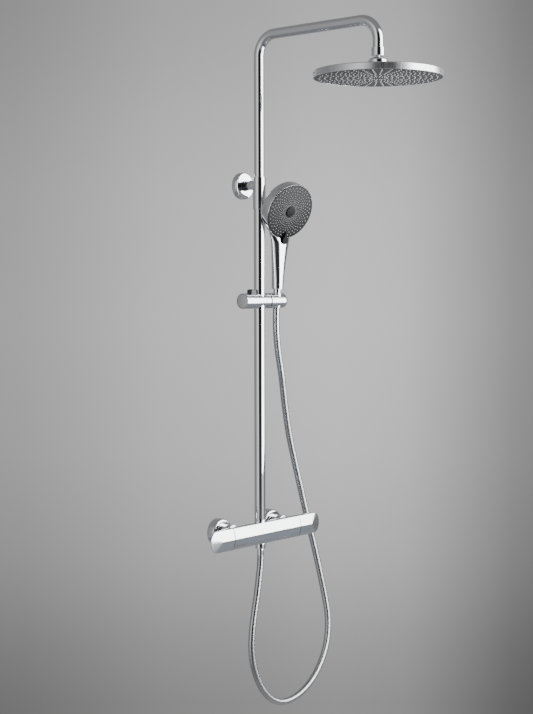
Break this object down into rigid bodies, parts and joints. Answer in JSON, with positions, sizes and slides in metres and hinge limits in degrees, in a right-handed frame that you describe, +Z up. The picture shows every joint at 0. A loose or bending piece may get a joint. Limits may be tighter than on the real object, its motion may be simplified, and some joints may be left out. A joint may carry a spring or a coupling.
{
  "type": "thermostatic rainfall shower column",
  "caption": "Wall-mounted shower column: thermostatic bar mixer, riser with overhead arm and round rain head, hand shower on a sliding holder, flexible hose.",
  "frame": {"origin": "On the wall plane, midway between the two wall inlets, at the height of their axes.", "axes": "+X along the wall to the right seen from the room, +Y into the wall, +Z up; the room is on the -Y side."},
  "size_m": [0.4021, 0.4576, 1.3536],
  "materials": {
    "chrome": "polished",
    "satin_chrome": "satin",
    "hose_metal": "metallised polymer sleeve with a fine spiral",
    "brass": "machined",
    "steel": "brushed",
    "black_plastic": "gloss",
    "grey_plate": "satin",
    "white_plastic": "moulded",
    "rubber": "matte",
    "silicone": "matte silicone"
  },
  "bodies": {
    "column": {"inlet_rosette_left": "chrome", "inlet_rosette_right": "chrome", "inlet_union_left": "brass", "inlet_union_right": "brass", "union_washer_left": "rubber", "union_washer_right": "rubber", "union_nut_left": "chrome", "union_nut_right": "chrome", "mixer_body": "satin_chrome", "flow_cartridge": "brass", "temperature_cartridge": "brass", "riser_spigot": "brass", "lower_riser_tube": "chrome", "bracket_wall_plate": "steel", "plate_screw_left": "steel", "plate_screw_right": "steel", "bracket_rosette": "chrome", "bracket_arm": "chrome", "bracket_sleeve": "chrome", "bracket_cap": "satin_chrome", "outlet_nipple": "brass", "hose_nut": "chrome", "hose_ferrule": "chrome", "hose_lower": "hose_metal"},
    "flow_control": {"flow_handle": "satin_chrome", "flow_spindle": "brass"},
    "temperature_control": {"temperature_handle": "satin_chrome", "temperature_spindle": "brass"},
    "overhead_arm": {"upper_riser_arm": "chrome", "arm_end_nut": "chrome", "ball_stem": "chrome"},
    "ball_seat": {"ball_seat": "white_plastic"},
    "overhead": {"head_boss": "chrome", "ball_retainer": "white_plastic", "overhead_shell": "satin_chrome", "overhead_face": "grey_plate", "overhead_mat": "silicone"},
    "slider_bush": {"slider_bush_upper": "black_plastic", "slider_bush_lower": "black_plastic", "hose_rise": "hose_metal"},
    "slider": {"slider_body": "satin_chrome", "slider_end_cap": "steel", "holder_pivot": "steel", "hose_upper": "hose_metal"},
    "release_button": {"release_button": "black_plastic"},
    "holder": {"handset_holder": "satin_chrome"},
    "hose_end": {"hose_cone_nut": "chrome", "hose_top": "hose_metal"},
    "handset": {"handset_shell": "chrome", "handset_rim": "chrome", "handset_face": "grey_plate", "handset_centre": "grey_plate", "handset_mat": "silicone", "spray_engine": "white_plastic", "handset_washer": "rubber"},
    "selector": {"selector_button": "black_plastic"}
  },
  "joints": [
    {"name": "flow_turn", "type": "hinge", "parent": "column", "child": "flow_control", "pos_m": [-0.12, -0.0515, -0.0044], "axis": [1, 0, 0], "range_deg": [-85, 85]},
    {"name": "temperature_turn", "type": "hinge", "parent": "column", "child": "temperature_control", "pos_m": [0.12, -0.0515, -0.0044], "axis": [1, 0, 0], "range_deg": [-140, 70]},
    {"name": "arm_swivel", "type": "hinge", "parent": "column", "child": "overhead_arm", "pos_m": [0, -0.049, 0.7], "axis": [0, 0, 1], "range_deg": [-50, 50]},
    {"name": "head_tilt_x", "type": "hinge", "parent": "overhead_arm", "child": "ball_seat", "pos_m": [0, -0.3388, 0.892], "axis": [1, 0, 0], "range_deg": [-10, 10]},
    {"name": "head_tilt_y", "type": "hinge", "parent": "ball_seat", "child": "overhead", "pos_m": [0, -0.3388, 0.892], "axis": [0, 1, 0], "range_deg": [-10, 10]},
    {"name": "slider_lift", "type": "slide", "parent": "column", "child": "slider_bush", "axis": [0, 0, 1], "range_m": [-0.18, 0.15], "deforming": ["hose_lower"]},
    {"name": "slider_swivel", "type": "hinge", "parent": "slider_bush", "child": "slider", "pos_m": [0, -0.049, 0.454], "axis": [0, 0, 1], "range_deg": [-40, 20], "deforming": ["hose_rise"]},
    {"name": "button_press", "type": "slide", "parent": "slider", "child": "release_button", "axis": [0, 0, -1], "range_m": [0, 0.003], "stiffness_N_per_m": 400, "springref_m": -0.003},
    {"name": "holder_tilt", "type": "hinge", "parent": "slider", "child": "holder", "pos_m": [0.022, -0.049, 0.454], "axis": [1, 0, 0], "range_deg": [0, 30], "deforming": ["hose_upper"]},
    {"name": "hose_lift", "type": "slide", "parent": "holder", "child": "hose_end", "axis": [0, -0.0663, 0.9978], "range_m": [0, 0.03], "deforming": ["hose_top"]},
    {"name": "handset_turn", "type": "hinge", "parent": "hose_end", "child": "handset", "pos_m": [0.048, -0.0524, 0.454], "axis": [0, -0.0663, 0.9978], "range_deg": [0, 40]},
    {"name": "selector_press", "type": "slide", "parent": "handset", "child": "selector", "axis": [0.1307, 0.9676, 0.2159], "range_m": [0, 0.0015], "stiffness_N_per_m": 500, "springref_m": -0.003}
  ]
}
